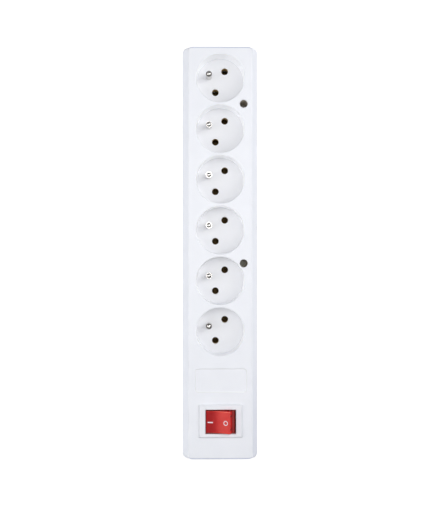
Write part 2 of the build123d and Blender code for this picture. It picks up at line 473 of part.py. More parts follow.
def plunger_springs():
    outer = PLUNGER_RADIUS - SPRING_GAP
    sleeve = rod(outer, PLUNGER_TOP + SPRING_GAP, PLUNGER_BORE_TOP - SPRING_GAP)
    sleeve -= rod(outer - SPRING_WALL, PLUNGER_TOP, PLUNGER_BORE_TOP)
    return group(rocker_pose(Pos(0, y, 0) * sleeve) for y in pole_ys())


def contact_blade(y):
    """See-saw blade with a contact button at the closing end, tipped as it lies when switched on."""
    blade = slab((-BLADE_LENGTH / 2, BLADE_LENGTH / 2), (-BLADE_WIDTH / 2, BLADE_WIDTH / 2),
                 -BLADE_THICKNESS / 2, BLADE_THICKNESS / 2)
    blade += rod(BUTTON_RADIUS, -BLADE_THICKNESS / 2 - BUTTON_HEIGHT, 0, BUTTON_X, 0)
    return at_switch(Pos(0, y, BLADE_Z) * Rot(0, BLADE_TILT, 0) * blade)


def terminal_in(y):
    """Centre tab: the blade rocks just above its top edge."""
    half = TERMINAL_THICKNESS / 2
    return at_switch(slab((-half, half), (y - BLADE_WIDTH / 2, y + BLADE_WIDTH / 2),
                          TERMINAL_BOTTOM, BLADE_Z - BLADE_THICKNESS / 2 - KNIFE_EDGE_GAP))


def terminal_out(y):
    """Outer tab with the fixed contact that the blade's button closes on."""
    half = TERMINAL_THICKNESS / 2
    tab = slab((TERMINAL_X - half, TERMINAL_X + half), (y - BLADE_WIDTH / 2, y + BLADE_WIDTH / 2),
               TERMINAL_BOTTOM, FIXED_CONTACT_Z)
    contact = Pos(TERMINAL_X, y, FIXED_CONTACT_Z - FIXED_CONTACT_THICKNESS / 2) * Box(
        FIXED_CONTACT_WIDTH, FIXED_CONTACT_WIDTH, FIXED_CONTACT_THICKNESS)
    return at_switch(tab + contact)


def neon_lamp():
    """Glass lamp lying across the middle under the cap, on two lead wires."""
    across = Rot(0, 90, 0)
    bulb = fillet((Pos(0, 0, LAMP_Z) * across * Cylinder(LAMP_RADIUS, LAMP_LENGTH)).edges(), LAMP_END_RADIUS)
    outer = LEAD_X + LEAD_RADIUS
    reach = outer - LAMP_LENGTH / 2 + LEAD_OVERLAP
    for side in (-1, 1):
        low = RESISTOR_HIGH if side < 0 else SWITCH_FLOOR_TOP
        bulb += Pos(side * (outer - reach / 2), 0, LAMP_Z) * across * Cylinder(LEAD_RADIUS, reach)
        bulb += rod(LEAD_RADIUS, low, LAMP_Z + LEAD_RADIUS, side * LEAD_X, 0)
    return at_switch(bulb)


def lamp_resistor():
    """Dropper resistor in line with one lead."""
    body = fillet(rod(RESISTOR_RADIUS, RESISTOR_LOW, RESISTOR_HIGH, -LEAD_X, 0).edges(), LEAD_OVERLAP)
    return at_switch(body + rod(LEAD_RADIUS, SWITCH_FLOOR_TOP, RESISTOR_LOW + LEAD_OVERLAP, -LEAD_X, 0))


# ---- Leads from the switch to the strips ----
def receptacle(y, exit_angle):
    """Push-on receptacle on an outer tab; its crimp barrel points along exit_angle from +X."""
    place = Pos(SWITCH_X + TERMINAL_X, SWITCH_Y + y, RECEPTACLE_Z)
    body = Pos(0, 0, RECEPTACLE_RISE) * Box(RECEPTACLE_WIDTH, RECEPTACLE_LENGTH, RECEPTACLE_HEIGHT)
    along = Rot(0, 0, exit_angle) * Rot(0, 90, 0)
    barrel = along * Cylinder(BARREL_RADIUS, BARREL_LENGTH, align=(Align.CENTER, Align.CENTER, Align.MIN))
    slot = Pos(0, 0, RECEPTACLE_RISE) * Box(TERMINAL_THICKNESS + TERMINAL_SLOT_GAP,
                                            BLADE_WIDTH + TERMINAL_SLOT_GAP, 2 * RECEPTACLE_HEIGHT)
    return place * (body + barrel - slot)


def wire_receptacles():
    near, far = pole_ys()
    return group([receptacle(near, NEAR_POLE_EXIT), receptacle(far, FAR_POLE_EXIT)])


def barrel_point(y, exit_angle, distance):
    """Point on a barrel's axis, or on the straight run of wire beyond it."""
    return (SWITCH_X + TERMINAL_X + distance * cos(radians(exit_angle)),
            SWITCH_Y + y + distance * sin(radians(exit_angle)), RECEPTACLE_Z)


def corner_radii(points):
    """Largest bend at each corner of a route that still leaves a straight between bends."""
    bend_share = 0.45
    radii = []
    for before, corner, after in zip(points, points[1:], points[2:]):
        run_in, run_out = Vector(*corner) - Vector(*before), Vector(*after) - Vector(*corner)
        shorter = min(run_in.length, run_out.length)
        radii.append(bend_share * shorter / tan(radians(run_in.get_angle(run_out) / 2)))
    return radii


def wire(pole_y, exit_angle, sign, route):
    """Insulated lead from a barrel's mouth, along a route, to the tail tab of one pole's strip."""
    points = [barrel_point(pole_y, exit_angle, BARREL_LENGTH),
              barrel_point(pole_y, exit_angle, BARREL_LENGTH + LEAD_OUT),
              *route,
              (sign * STRIP_MIDDLE_X, STRIP_TAIL_Y - WIRE_RUN_IN, WIRE_END_Z),
              (sign * STRIP_MIDDLE_X, STRIP_TAIL_Y, WIRE_END_Z)]
    path = FilletPolyline(*points, radius=corner_radii(points))
    section = Plane(origin=path @ 0, z_dir=path % 0) * Circle(WIRE_RADIUS)
    return sweep(section, path=path)


# ---- Cord inlet ----
def inlet_grommet():
    """Bush in the end wall, flanged on the inside, that the supply cord would pass through."""
    wall_in = -INNER_LENGTH / 2
    wall_out = -BASE_LENGTH / 2
    bush = rod_y(GROMMET_RADIUS, wall_out, wall_in + GROMMET_REACH, 0, INLET_Z)
    bush += rod_y(GROMMET_FLANGE_RADIUS, wall_in, wall_in + GROMMET_FLANGE, 0, INLET_Z)
    return bush - rod_y(INLET_BORE_RADIUS, wall_out - RUNOUT, 0, 0, INLET_Z)


def cord_clamp_bar():
    """Bar over the cord, with an arched underside, held by two screws."""
    half = CLAMP_POST_X + CLAMP_BAR_END
    bar = slab((-half, half), (CLAMP_Y - CLAMP_DEPTH / 2, CLAMP_Y + CLAMP_DEPTH / 2),
               CLAMP_BAR_LOW, CLAMP_BAR_HIGH)
    bar -= rod_y(CLAMP_ARCH_RADIUS, CLAMP_Y - CLAMP_DEPTH, CLAMP_Y + CLAMP_DEPTH, 0, INLET_Z)
    for side in (-1, 1):
        bar -= rod(CLAMP_HOLE_RADIUS, 0, HEIGHT, side * CLAMP_POST_X, CLAMP_Y)
    return bar


def cord_clamp_screws():
    def screw(x):
        head_top = CLAMP_BAR_HIGH + CLAMP_HEAD_HEIGHT
        slot = Pos(x, CLAMP_Y, head_top) * Box(
            2 * CLAMP_HEAD_RADIUS + RUNOUT, CLAMP_SLOT_WIDTH, CLAMP_HEAD_HEIGHT)
        head = rod(CLAMP_HEAD_RADIUS, CLAMP_BAR_HIGH, head_top, x, CLAMP_Y) - slot
        return head + rod(CLAMP_SCREW_RADIUS, CLAMP_SCREW_TIP, CLAMP_BAR_HIGH + ROOT, x, CLAMP_Y)
    return group(screw(side * CLAMP_POST_X) for side in (-1, 1))


def nodes():
    line_y, neutral_y = pole_ys()
    made = {
        "top_cover": top_cover(),
        "base_tray": base_tray(),
        "housing_screws": housing_screws(),
        "line_busbar": busbar(1),
        "neutral_busbar": busbar(-1),
        "line_contacts": contact_clips(1),
        "neutral_contacts": contact_clips(-1),
        "contact_rivets": contact_rivets(),
        "earth_busbar": earth_busbar(),
        "earth_terminal_screw": earth_terminal_screw(),
        "switch_housing": switch_housing(),
        "rocker": rocker_pose(rocker()),
        "plungers": plungers(),
        "plunger_springs": plunger_springs(),
        "contact_blade_line": contact_blade(line_y),
        "contact_blade_neutral": contact_blade(neutral_y),
        "terminal_line_in": terminal_in(line_y),
        "terminal_neutral_in": terminal_in(neutral_y),
        "terminal_line_out": terminal_out(line_y),
        "terminal_neutral_out": terminal_out(neutral_y),
        "neon_lamp": neon_lamp(),
        "lamp_resistor": lamp_resistor(),
        "wire_receptacles": wire_receptacles(),
        "wire_line": wire(line_y, NEAR_POLE_EXIT, 1, []),
        "wire_neutral": wire(neutral_y, FAR_POLE_EXIT, -1, NEUTRAL_ROUTE),
        "inlet_grommet": inlet_grommet(),
        "cord_clamp_bar": cord_clamp_bar(),
        "cord_clamp_screws": cord_clamp_screws(),
    }
    for number, (x, y) in enumerate(earth_sites(), start=1):
        made[f"earth_pin_{number}"] = earth_pin(x, y)
    return made


os.makedirs("parts", exist_ok=True)
for name, shape in nodes().items():
    export_step(shape, f"parts/{name}.step")
    print(name, round(shape.volume, 1))
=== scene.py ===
import json
from math import cos, pi, radians, sin, sqrt

import bmesh
import bpy
from mathutils import Matrix, Vector


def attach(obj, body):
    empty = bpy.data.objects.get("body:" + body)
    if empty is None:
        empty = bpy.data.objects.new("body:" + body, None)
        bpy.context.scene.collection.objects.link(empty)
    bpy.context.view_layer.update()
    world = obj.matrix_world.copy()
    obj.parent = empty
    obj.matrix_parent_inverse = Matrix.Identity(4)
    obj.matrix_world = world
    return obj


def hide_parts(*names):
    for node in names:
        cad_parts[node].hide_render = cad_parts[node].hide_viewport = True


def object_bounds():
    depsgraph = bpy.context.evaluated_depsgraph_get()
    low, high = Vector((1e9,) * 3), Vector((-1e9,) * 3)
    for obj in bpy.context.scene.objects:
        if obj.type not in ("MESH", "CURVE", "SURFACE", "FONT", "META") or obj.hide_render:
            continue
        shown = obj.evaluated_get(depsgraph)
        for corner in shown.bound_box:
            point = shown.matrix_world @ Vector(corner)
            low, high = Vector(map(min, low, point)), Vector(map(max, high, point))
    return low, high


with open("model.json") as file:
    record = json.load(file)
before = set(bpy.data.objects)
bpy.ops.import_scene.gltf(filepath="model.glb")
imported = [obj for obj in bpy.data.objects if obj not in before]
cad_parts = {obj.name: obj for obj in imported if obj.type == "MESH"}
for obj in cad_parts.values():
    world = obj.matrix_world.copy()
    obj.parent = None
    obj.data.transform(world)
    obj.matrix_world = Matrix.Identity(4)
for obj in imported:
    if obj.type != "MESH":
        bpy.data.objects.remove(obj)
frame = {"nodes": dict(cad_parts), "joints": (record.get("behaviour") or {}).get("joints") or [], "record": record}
cad_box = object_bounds()

MM = 0.001
NODES = frame["nodes"]
SWITCH = Vector(next(j["pos_m"] for j in frame["joints"] if j["name"] == "rocker_tilt"))

# The rocker cap in its own level frame, in millimetres from its pivot. These repeat the part's sizes.
CAP_TILT = 16.0
CAP_EDGE_X, CAP_EDGE_Z, CAP_DISH = 10.1, 7.9, 1.3
POLE_OFFSET = 4.5
SPRING_LOW, SPRING_HIGH, SPRING_RADIUS, SPRING_WIRE, SPRING_TURNS = -6.7, 2.8, 1.15, 0.2, 8
SPRING_CLOSED_SHARE = 0.12  # of the turns, lying flat at each end

# The marks printed on the cap, in the same frame. Heights are above the dished top.
INK_PROUD, INK_EDGE, INK_SUNK, INK_SOFT = 0.05, 0.02, -0.12, 0.07
MARK_Y = -0.4
RING_X, RING_OUTER, RING_INNER = 6.1, 1.9, 1.3
DASH_X, DASH_HALF_LENGTH, DASH_HALF_WIDTH, DASH_CORNER = -6.6, 2.1, 0.43, 0.15

# Where the cover's wells, wall-screw holes, label recess and end faces are, for the shading on them.
SOCKETS, FIRST_SOCKET_Y, SOCKET_PITCH = 6, 141.35 * MM, 41.0 * MM
WELL_RADIUS, WELL_FLOOR_Z = 19.5 * MM, 25.0 * MM
MOUNTS, MOUNT_X, MOUNT_FAR_Y, MOUNT_SPACING = 2, 19.0 * MM, 120.5 * MM, 129.0 * MM
LABEL_Y, LABEL_REACH_X, LABEL_REACH_Y = -103.1 * MM, 24.0 * MM, 11.5 * MM
END_FACE_Y = 165.0 * MM

# The cover's white, and its painted light and shade. All but the glows, which are painted light, multiply its
# white.
BLACK, CLEAN, WHITE = (0.0, 0.0, 0.0), (1.0, 1.0, 1.0), (0.885, 0.900, 0.953)
WALL_PAINTED_LIGHT, HOLE_PAINTED_LIGHT, PAINTED_LIGHT_STRENGTH = (1.0, 1.0, 0.93), (0.13, 0.085, 0.02), 0.17
NEAR_WALL_PAINTED_LIGHT_CUT = 0.7
DEEP_PAINTED_SHADE, WELL_FLOOR_PAINTED_SHADE, MOUNT_PAINTED_SHADE = (0.60, 0.46, 0.26), (0.918, 0.906, 0.876), (0.84, 0.78, 0.66)
LABEL_EDGE_HIGHLIGHT, FLANK_PAINTED_SHADE, NEAR_FLANK_PAINTED_SHADE = (1.07, 1.06, 1.03), (0.94, 0.955, 0.98), (0.86, 0.865, 0.90)
END_EDGE_PAINTED_SHADE, END_SLOPE_PAINTED_SHADE = (0.84, 0.86, 0.92), (0.80, 0.82, 0.90)

# Red light on the bezel's inner walls, which stand this far from the pivot.
BEZEL_REACH_X, BEZEL_REACH_Y, RED_SPILL = 12.9 * MM, 10.4 * MM, (0.80, 0.22, 0.20)

# Painted shade and light on the cap, which multiply its red: shade on the low end, steep faces, skirt and dimples,
# a highlight on the lit rim.
CAP_LOW_PAINTED_SHADE, CAP_MIDDLE_PAINTED_SHADE, CAP_STEEP_PAINTED_SHADE = (0.55, 0.20, 0.26), (0.68, 0.30, 0.36), (0.86, 0.17, 0.21)
CAP_SKIRT_PAINTED_SHADE, CAP_RIM_HIGHLIGHT, DIMPLE_PAINTED_SHADOW = (0.52, 0.75, 0.80), (1.12, 1.25, 0.9), (0.06, 0.15, 0.18)
DIMPLE_Y = 5.3 * MM

# Noise values at which a material's colour or roughness reaches its two extremes.
NOISE_LOW, NOISE_HIGH = 0.3, 0.7


# ---- Shader helpers ----
class Shader:
    """A Principled material with short calls for the procedural detail laid over it."""

    def __init__(self, name, **inputs):
        self.name = name
        self.material = bpy.data.materials.new(name)
        self.material.use_nodes = True
        self.tree = self.material.node_tree
        self.bsdf = self.tree.nodes["Principled BSDF"]
        for socket, value in inputs.items():
            self.bsdf.inputs[socket.replace("_", " ")].default_value = value
        self.place = self.tree.nodes.new("ShaderNodeTexCoord").outputs["Object"]

    def node(self, kind, **settings):
        made = self.tree.nodes.new("ShaderNode" + kind)
        for key, value in settings.items():
            setattr(made, key, value)
        return made

    def link(self, source, target):
        self.tree.links.new(source, target)

    def noise(self, size_mm, detail=3.0, roughness=0.5, stretch=(1, 1, 1)):
        """Noise whose features are about size_mm across, longer along an axis where stretch is under 1."""
        mapping = self.node("Mapping")
        mapping.inputs["Scale"].default_value = stretch
        self.link(self.place, mapping.inputs["Vector"])
        texture = self.node("TexNoise")
        texture.inputs["Scale"].default_value = 1.0 / (size_mm * MM)
        texture.inputs["Detail"].default_value = detail
        texture.inputs["Roughness"].default_value = roughness
        self.link(mapping.outputs["Vector"], texture.inputs["Vector"])
        return texture.outputs["Fac"]

    def cells(self, size_mm):
        """Soft cells about size_mm across."""
        texture = self.node("TexVoronoi", feature="SMOOTH_F1")
        texture.inputs["Scale"].default_value = 1.0 / (size_mm * MM)
        self.link(self.place, texture.inputs["Vector"])
        return texture.outputs["Distance"]

    def axes(self, kind):
        """X, Y and Z of the Object position or of the object's own Normal."""
        split = self.node("SeparateXYZ")
        self.link(self.node("TexCoord").outputs[kind], split.inputs["Vector"])
        return tuple(split.outputs[axis] for axis in "XYZ")

    def math(self, operation, *values):
        """Math on sockets or plain numbers."""
        made = self.node("Math", operation=operation)
        for socket, value in zip(made.inputs, values):
            if isinstance(value, (int, float)):
                socket.default_value = value
            else:
                self.link(value, socket)
        return made.outputs["Value"]

    def colour_math(self, operation, first, second):
        """Math on two colours, channel by channel."""
        made = self.node("VectorMath", operation=operation)
        self.link(first, made.inputs[0])
        self.link(second, made.inputs[1])
        return made.outputs["Vector"]

    def product(self, *masks):
        """Mask where every one of the masks holds."""
        result = masks[0]
        for mask in masks[1:]:
            result = self.math("MULTIPLY", result, mask)
        return result

    def step(self, value, start, end):
        """Eases from 0 to 1 as value runs from start to end."""
        spread = self.node("MapRange", interpolation_type="SMOOTHSTEP")
        spread.inputs["From Min"].default_value = start
        spread.inputs["From Max"].default_value = end
        self.link(value, spread.inputs["Value"])
        return spread.outputs["Result"]

    def band(self, value, start, full, full_end, end):
        """1 from full to full_end, easing to 0 at start and at end."""
        return self.product(self.step(value, start, full), self.step(value, end, full_end))

    def off(self, value, middle):
        """How far value is from middle, to either side."""
        return self.math("ABSOLUTE", self.math("SUBTRACT", value, middle))

    def within(self, value, middle, reach, ease=0.4 * MM):
        """1 where value is less than reach from middle, easing to 0 just inside it."""
        return self.step(self.off(value, middle), reach, reach - ease)

    def distance(self, centre_x, far_y, pitch, count):
        """Distance across from the nearest of count centres in a row along Y."""
        x, y, _ = self.axes("Object")
        half_row = pitch * (count - 1) / 2
        along = self.off(self.math("WRAP", y, far_y + pitch / 2, far_y - pitch / 2), far_y)
        past_end = self.math("SUBTRACT", self.off(y, far_y - half_row), half_row)
        along = self.math("MAXIMUM", along, past_end)
        across = self.math("SUBTRACT", x, centre_x)
        return self.math("SQRT", self.math("ADD", self.math("MULTIPLY", across, across),
                                           self.math("MULTIPLY", along, along)))

    def ramp(self, factor, *stops):
        """Ramp through (position, colour or grey) stops."""
        ramp = self.node("ValToRGB")
        elements = ramp.color_ramp.elements
        for _ in stops[2:]:
            elements.new(1.0)
        for element, (position, _) in zip(elements, stops):
            element.position = position
        for element, (_, value) in zip(elements, stops):
            element.color = (*value, 1.0) if isinstance(value, tuple) else (value, value, value, 1.0)
        self.link(factor, ramp.inputs["Fac"])
        return ramp.outputs["Color"]

    def colour(self, noise, low, high):
        self.link(self.ramp(noise, (NOISE_LOW, low), (NOISE_HIGH, high)), self.bsdf.inputs["Base Color"])

    def rough(self, noise, low, high):
        self.link(self.ramp(noise, (NOISE_LOW, low), (NOISE_HIGH, high)), self.bsdf.inputs["Roughness"])

    def bump(self, *layers):
        """Stacks (height, strength, depth in mm) layers of bump, finest last."""
        normal = None
        for height, strength, depth_mm in layers:
            bump = self.node("Bump")
            bump.inputs["Strength"].default_value = strength
            bump.inputs["Distance"].default_value = depth_mm * MM
            self.link(height, bump.inputs["Height"])
            if normal:
                self.link(normal, bump.inputs["Normal"])
            normal = bump.outputs["Normal"]
        self.link(normal, self.bsdf.inputs["Normal"])

    def shade(self, factor, *stops):
        """Multiplies the base colour by a ramp of factor."""
        base = self.bsdf.inputs["Base Color"]
        self.link(self.colour_math("MULTIPLY", base.links[0].from_socket, self.ramp(factor, *stops)), base)

    def shade_where(self, mask, colour):
        """Multiplies the base colour by colour where mask is 1."""
        self.shade(mask, (0.0, CLEAN), (1.0, colour))


def tint(colour, factor):
    """The colour lightened or darkened, with no channel above 1."""
    return tuple(min(1.0, c * factor) for c in colour)


# ---- Materials ----
def moulded(name, colour, rough, grain_mm, grain_depth_mm, relief=1.0, **inputs):
    """Moulded plastic: faint cloudy colour, spark-eroded grain and slow sink-mark waviness."""
    shader = Shader(name, **inputs)
    shader.colour(shader.noise(14.0, detail=4.0), tint(colour, 0.985), tint(colour, 1.01))
    shader.rough(shader.noise(3.0, detail=5.0), *rough)
    wave = shader.noise(30.0, detail=1.0)
    grain = shader.noise(grain_mm, detail=2.0, roughness=0.6)
    pits = shader.cells(1.6 * grain_mm)
    shader.bump((wave, 0.2 * relief, 0.1),
                (pits, 0.25 * relief, grain_depth_mm),
                (grain, 0.3 * relief, grain_depth_mm))
    return shader


def cover_plastic(name):
    """Cover: painted light glowing on the well walls, painted shade: duller well floors, warm deep in every hole,
    cool on the flared sides.
    """
    shader = moulded(name, WHITE, rough=(0.40, 0.50), grain_mm=0.35, grain_depth_mm=0.012,
                     Subsurface_Weight=0.15, Subsurface_Radius=(0.002, 0.002, 0.0022), Subsurface_Scale=1.0)
    x, y, z = shader.axes("Object")
    _, towards_far_end, up = shader.axes("Normal")
    upright = shader.math("ABSOLUTE", up)
    from_well = shader.distance(0.0, FIRST_SOCKET_Y, SOCKET_PITCH, SOCKETS)
    from_mount = shader.distance(MOUNT_X, MOUNT_FAR_Y, MOUNT_SPACING, MOUNTS)

    # Painted light, as glows: the wells' walls, less on the near side of each, and the plug holes in their floors.
    on_wall = shader.band(from_well, WELL_RADIUS - 1.6 * MM, WELL_RADIUS - 1.0 * MM,
                          WELL_RADIUS + 0.6 * MM, WELL_RADIUS + 1.0 * MM)
    over_floor = shader.step(z, WELL_FLOOR_Z - 0.3 * MM, WELL_FLOOR_Z + 0.3 * MM)
    dimming = shader.math("MULTIPLY", shader.step(towards_far_end, 0.1, 0.9), NEAR_WALL_PAINTED_LIGHT_CUT)
    wall_painted_light = shader.product(on_wall, over_floor, shader.step(upright, 0.98, 0.45),
                               shader.math("SUBTRACT", 1.0, dimming))
    hole_painted_light = shader.product(shader.step(from_well, WELL_RADIUS - 1.6 * MM, WELL_RADIUS - 2.2 * MM),
                               shader.step(z, WELL_FLOOR_Z - 0.5 * MM, WELL_FLOOR_Z - 1.2 * MM))
    painted_light = shader.colour_math("ADD", shader.ramp(wall_painted_light, (0.0, BLACK), (1.0, WALL_PAINTED_LIGHT)),
                              shader.ramp(hole_painted_light, (0.0, BLACK), (1.0, HOLE_PAINTED_LIGHT)))
    shader.link(painted_light, shader.bsdf.inputs["Emission Color"])
    shader.bsdf.inputs["Emission Strength"].default_value = PAINTED_LIGHT_STRENGTH

    # Painted shade in the plug holes and on the floors inside the wells, painted shade down the wall-screw holes.
    height = shader.math("MAXIMUM", shader.step(z, WELL_FLOOR_Z - 1.0 * MM, WELL_FLOOR_Z + 2.0 * MM),
                         shader.step(from_well, WELL_RADIUS + 0.6 * MM, WELL_RADIUS + 1.0 * MM))
    shader.shade(height, (0.0, DEEP_PAINTED_SHADE), (0.11, DEEP_PAINTED_SHADE), (0.20, WELL_FLOOR_PAINTED_SHADE), (0.28, WELL_FLOOR_PAINTED_SHADE),
                 (0.45, CLEAN))
    # Painted shade down the wall-screw holes.
    down_mount = shader.product(shader.step(from_mount, 3.8 * MM, 3.4 * MM),
                                shader.step(z, 39.6 * MM, 37.0 * MM))
    shader.shade_where(down_mount, MOUNT_PAINTED_SHADE)

    # Painted cool shade on the flared sides, a painted highlight on the edge of the label recess, painted shade on
    # the flank by the switch and on the two ends.
    shader.shade_where(shader.band(upright, 0.12, 0.22, 0.32, 0.45), FLANK_PAINTED_SHADE)
    # Painted highlight: the sloped edge of the label recess made lighter.
    lit_label_edge = shader.product(shader.within(x, 0.0, LABEL_REACH_X),
                                shader.within(y, LABEL_Y, LABEL_REACH_Y),
                                shader.step(upright, 0.99, 0.9), shader.step(z, 38.8 * MM, 39.1 * MM))
    shader.shade_where(lit_label_edge, LABEL_EDGE_HIGHLIGHT)
    # Painted shade on the right flank towards the near end, by the switch.
    shaded_near_flank = shader.product(shader.step(x, 26.0 * MM, 27.0 * MM), shader.step(y, -50.0 * MM, -165.0 * MM))
    shader.shade_where(shaded_near_flank, NEAR_FLANK_PAINTED_SHADE)
    # Painted shade along both ends of the face, deeper where the edge slopes.
    end_edge = shader.product(shader.step(shader.math("ABSOLUTE", y), END_FACE_Y, END_FACE_Y + 0.7 * MM),
                              shader.step(z, 37.0 * MM, 38.5 * MM))
    shader.shade_where(end_edge, END_EDGE_PAINTED_SHADE)
    shader.shade_where(shader.product(end_edge, shader.step(upright, 0.97, 0.75)), END_SLOPE_PAINTED_SHADE)
    return shader


def bezel_plastic(name):
    """Smooth frame whose inner walls pick up red from the cap beside them."""
    shader = moulded(name, (0.88, 0.89, 0.935), rough=(0.28, 0.36), grain_mm=0.30, grain_depth_mm=0.006,
                     relief=0.25)
    x, y, _ = shader.axes("Object")
    steep = shader.step(shader.math("ABSOLUTE", shader.axes("Normal")[2]), 0.8, 0.5)
    beside_cap = shader.product(shader.within(x, SWITCH.x, BEZEL_REACH_X),
                                shader.within(y, SWITCH.y, BEZEL_REACH_Y), steep)
    shader.shade_where(beside_cap, RED_SPILL)
    return shader


def red_lens(name):
    """Translucent red cap: glossy skin, painted shade towards its low end, a painted highlight along its lit rim,
    fine rub marks.
    """
    shader = Shader(name, IOR=1.55, Transmission_Weight=0.15, Coat_Weight=0.15, Coat_Roughness=0.10,
                    Subsurface_Weight=0.2, Subsurface_Radius=(0.002, 0.0005, 0.0005), Subsurface_Scale=1.0)
    shader.colour(shader.noise(7.0, detail=2.0), (0.82, 0.070, 0.062), (0.88, 0.082, 0.070))
    x, y, _ = shader.axes("Object")
    upright = shader.math("ABSOLUTE", shader.axes("Normal")[2])
    steep = shader.step(upright, 0.75, 0.45)
    off_middle = shader.off(y, SWITCH.y)

    # Painted shade, darkest at the cap's low end, easing off towards its raised end.
    towards_lit_end = shader.step(x, -8.5 * MM, 2.5 * MM)
    shader.shade(towards_lit_end, (0.0, CAP_LOW_PAINTED_SHADE), (0.35, CAP_MIDDLE_PAINTED_SHADE), (1.0, CLEAN))
    # Painted shade on the cap's steep faces.
    shader.shade_where(steep, CAP_STEEP_PAINTED_SHADE)
    # Painted shade on the skirt below the raised end.
    shader.shade_where(shader.step(x, 9.2 * MM, 9.8 * MM), CAP_SKIRT_PAINTED_SHADE)
    # Painted shadow in the two dimples on the end face.
    in_dimple = shader.product(shader.within(off_middle, DIMPLE_Y, 0.95 * MM, ease=0.3 * MM), steep,
                               shader.band(x, 7.9 * MM, 8.2 * MM, 9.0 * MM, 9.3 * MM))
    shader.shade_where(in_dimple, DIMPLE_PAINTED_SHADOW)
    # Painted highlight along the cap's long edges.
    rim = shader.product(shader.step(off_middle, 7.7 * MM, 8.3 * MM), shader.step(upright, 0.2, 0.5))
    shader.shade_where(rim, CAP_RIM_HIGHLIGHT)

    shader.rough(shader.noise(2.5, detail=3.0), 0.16, 0.22)
    rub = shader.noise(0.5, detail=3.0, stretch=(0.25, 1, 1))
    shader.bump((shader.noise(9.0, detail=0.0), 0.04, 0.08), (rub, 0.03, 0.004))
    return shader


def white_ink(name):
    """Pad-printed ink, thin enough to let a little of the red through."""
    shader = Shader(name)
    shader.colour(shader.noise(0.5, detail=4.0), (0.86, 0.78, 0.84), (0.94, 0.89, 0.94))
    shader.rough(shader.noise(0.3), 0.40, 0.60)
    shader.bump((shader.noise(0.15), 0.3, 0.01))
    return shader


def plated(name, colour, stain, rough, scratch=(1, 1, 1), relief=1.0):
    """Bright plated metal with soft stains, and hairlines that run along the axis where scratch is small."""
    shader = Shader(name, Metallic=1.0)
    shader.colour(shader.noise(1.6, detail=5.0), stain, colour)
    shader.rough(shader.noise(0.6, detail=5.0), *rough)
    hairline = shader.noise(0.12, detail=3.0, stretch=scratch)
    shader.bump((shader.noise(2.0, detail=2.0), 0.15 * relief, 0.02), (hairline, 0.2 * relief, 0.004))
    return shader


def insulation(name, colour):
    """Soft extruded PVC with lines along its length."""
    shader = Shader(name, Subsurface_Weight=0.05)
    shader.colour(shader.noise(4.0, detail=3.0), tint(colour, 0.9), tint(colour, 1.08))
    shader.rough(shader.noise(1.0, detail=4.0), 0.38, 0.52)
    shader.bump((shader.noise(0.4, detail=2.0, stretch=(1, 0.1, 1)), 0.3, 0.03))
    return shader


def lamp_glass(name):
    """Clear glass of the neon lamp with a faint warm bloom inside."""
    shader = Shader(name, IOR=1.5, Transmission_Weight=0.9)
    shader.colour(shader.noise(1.5), (0.92, 0.80, 0.72), (0.98, 0.93, 0.90))
    shader.rough(shader.noise(0.8), 0.03, 0.10)
    shader.bump((shader.noise(2.0), 0.1, 0.02))
    return shader


def resistor_body(name):
    """Lacquered ceramic body."""
    shader = Shader(name, Coat_Weight=0.4)
    shader.colour(shader.noise(0.7, detail=4.0), (0.42, 0.29, 0.17), (0.58, 0.43, 0.28))
    shader.rough(shader.noise(0.5), 0.3, 0.45)
    shader.bump((shader.noise(0.5), 0.4, 0.05))
    return shader


def earth_pin_nickel(name):
    """Bright plated pins with a painted reflection: a dark band on the dome, as if it mirrored the dark rim around
    its own foot.
    """
    shader = plated(name, (0.80, 0.785, 0.76), stain=(0.74, 0.72, 0.69), rough=(0.10, 0.15),
                    scratch=(1, 1, 0.15), relief=0.3)
    # Painted reflection: darkest on the dome's shoulder, a little dark on the sides, clean on top.
    shader.shade(shader.math("ABSOLUTE", shader.axes("Normal")[2]), (0.0, (0.80, 0.80, 0.80)),
                 (0.45, (0.55, 0.53, 0.50)), (0.72, (0.22, 0.20, 0.18)), (0.90, CLEAN))
    return shader


MATERIALS = {shader.name: shader.material for shader in (
    cover_plastic("white_plastic"),
    moulded("tray_plastic", (0.80, 0.815, 0.85), rough=(0.52, 0.64), grain_mm=0.45, grain_depth_mm=0.025),
    bezel_plastic("bezel_plastic"),
    moulded("nylon", (0.74, 0.71, 0.62), rough=(0.40, 0.55), grain_mm=0.5, grain_depth_mm=0.02,
            Subsurface_Weight=0.1),
    moulded("grommet_plastic", (0.62, 0.64, 0.67), rough=(0.55, 0.70), grain_mm=0.4, grain_depth_mm=0.02),
    red_lens("red_lens"),
    white_ink("white_ink"),
    earth_pin_nickel("nickel"),
    # The brass is dark: partly tarnish, partly painted shade for the contacts deep in the plug holes.
    plated("brass", (0.17, 0.115, 0.05), stain=(0.10, 0.065, 0.03), rough=(0.50, 0.65), scratch=(1, 0.1, 1)),
    plated("silvered_brass", (0.80, 0.78, 0.72), stain=(0.62, 0.60, 0.54), rough=(0.22, 0.36),
           scratch=(1, 0.2, 1)),
    plated("zinc_steel", (0.66, 0.68, 0.71), stain=(0.46, 0.48, 0.51), rough=(0.28, 0.45)),
    lamp_glass("lamp_glass"),
    resistor_body("resistor_body"),
    insulation("brown_insulation", (0.16, 0.07, 0.035)),
    insulation("blue_insulation", (0.03, 0.12, 0.42)),
)}


def dress_nodes():
    """Every CAD node takes the material of its slot in the record."""
    for entry in frame["record"]["subparts"]:
        mesh = NODES[entry["node"]].data
        mesh.materials.clear()
        mesh.materials.append(MATERIALS[entry["material_slot"]])


